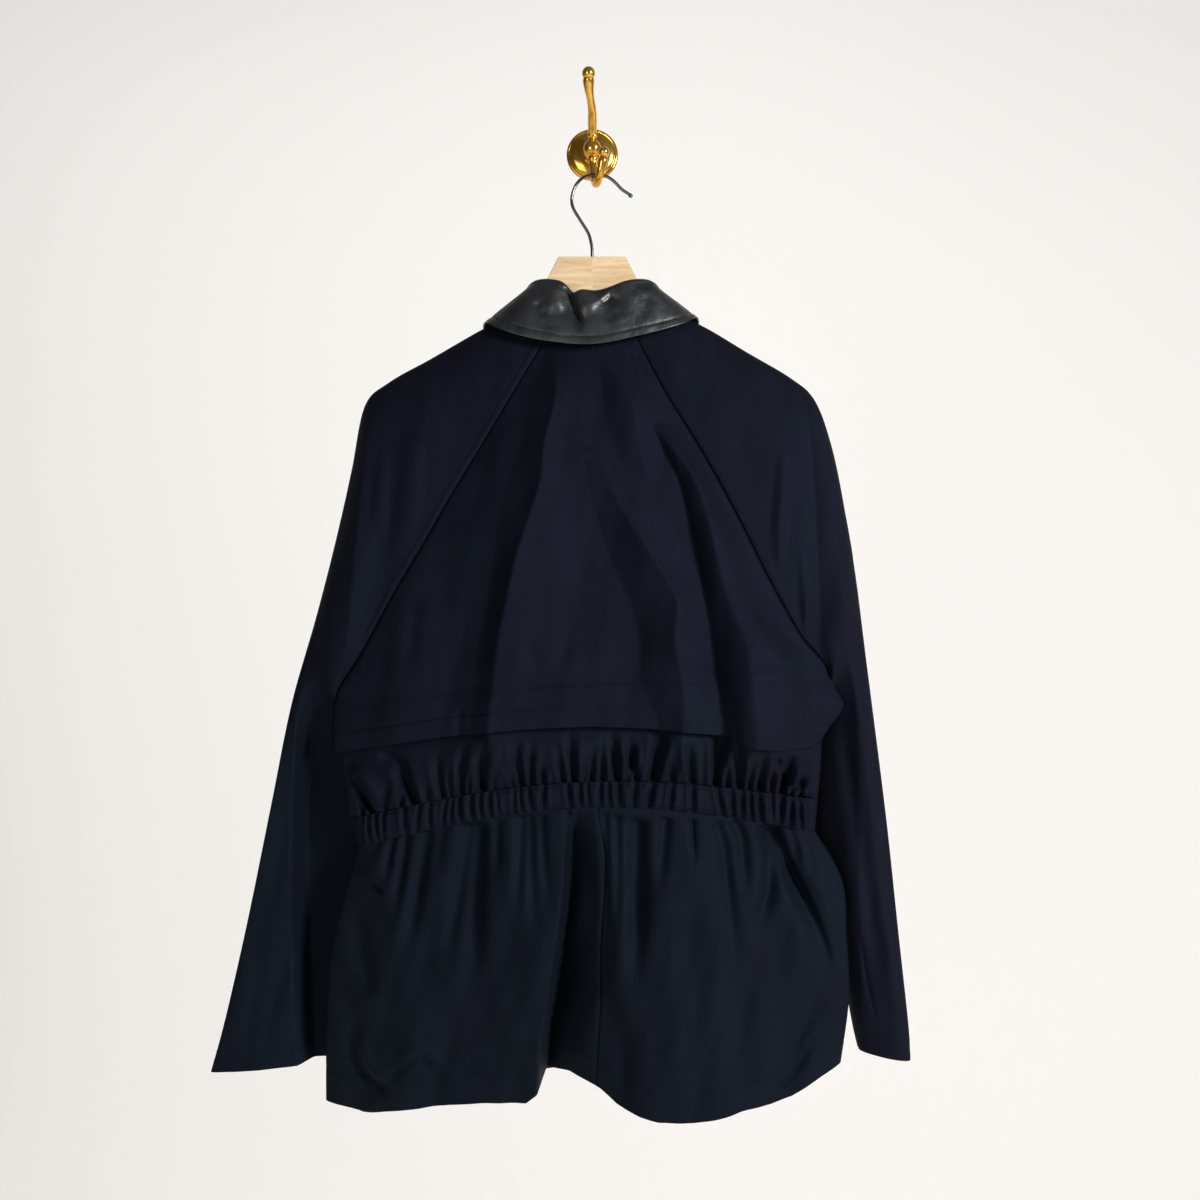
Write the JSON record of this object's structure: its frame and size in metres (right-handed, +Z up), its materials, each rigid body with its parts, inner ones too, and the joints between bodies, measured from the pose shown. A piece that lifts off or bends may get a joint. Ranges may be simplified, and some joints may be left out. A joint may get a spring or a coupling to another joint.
{
  "type": "hunting jacket on a wooden hanger and wall hook",
  "caption": "thigh-length raglan jacket with a leather collar, back cape and gathered waist, hung back outwards on a wooden hanger from a brass wall hook",
  "frame": {"origin": "centre of the back of the round wall plate, on the wall, where the wall hook holds the jacket up (mount wall_hang)", "axes": "+Z up; +Y into the wall; the jacket's back faces -Y, out of the wall; +X to the right of someone facing the wall"},
  "size_m": [0.704, 0.1004, 1.0341],
  "materials": {
    "shell_cloth": "near-black navy close plain weave with a slight sheen",
    "collar_leather": "smooth black leather, semi-matt",
    "button": "dark, semi-gloss",
    "beech": "pale beech, satin varnish",
    "dark_steel": "dark grey wire",
    "polished_brass": "polished"
  },
  "bodies": {
    "root": {"sleeve_left": "shell_cloth", "sleeve_right": "shell_cloth", "cape": "shell_cloth", "back": "shell_cloth", "waist_casing": "shell_cloth", "skirt_left": "shell_cloth", "skirt_right": "shell_cloth", "front_left": "shell_cloth", "front_right": "shell_cloth", "placket": "shell_cloth", "button_1": "button", "button_2": "button", "button_3": "button", "button_4": "button", "button_5": "button", "collar": "collar_leather", "hanger_left": "beech", "hanger_right": "beech", "hanger_hook": "dark_steel", "hanger_hook_bead": "dark_steel", "wall_plate": "polished_brass", "hook_boss": "polished_brass", "hook_upper_arm": "polished_brass", "hook_lower_arm": "polished_brass", "hook_upper_ball": "polished_brass", "hook_lower_ball": "polished_brass"}
  },
  "joints": []
}
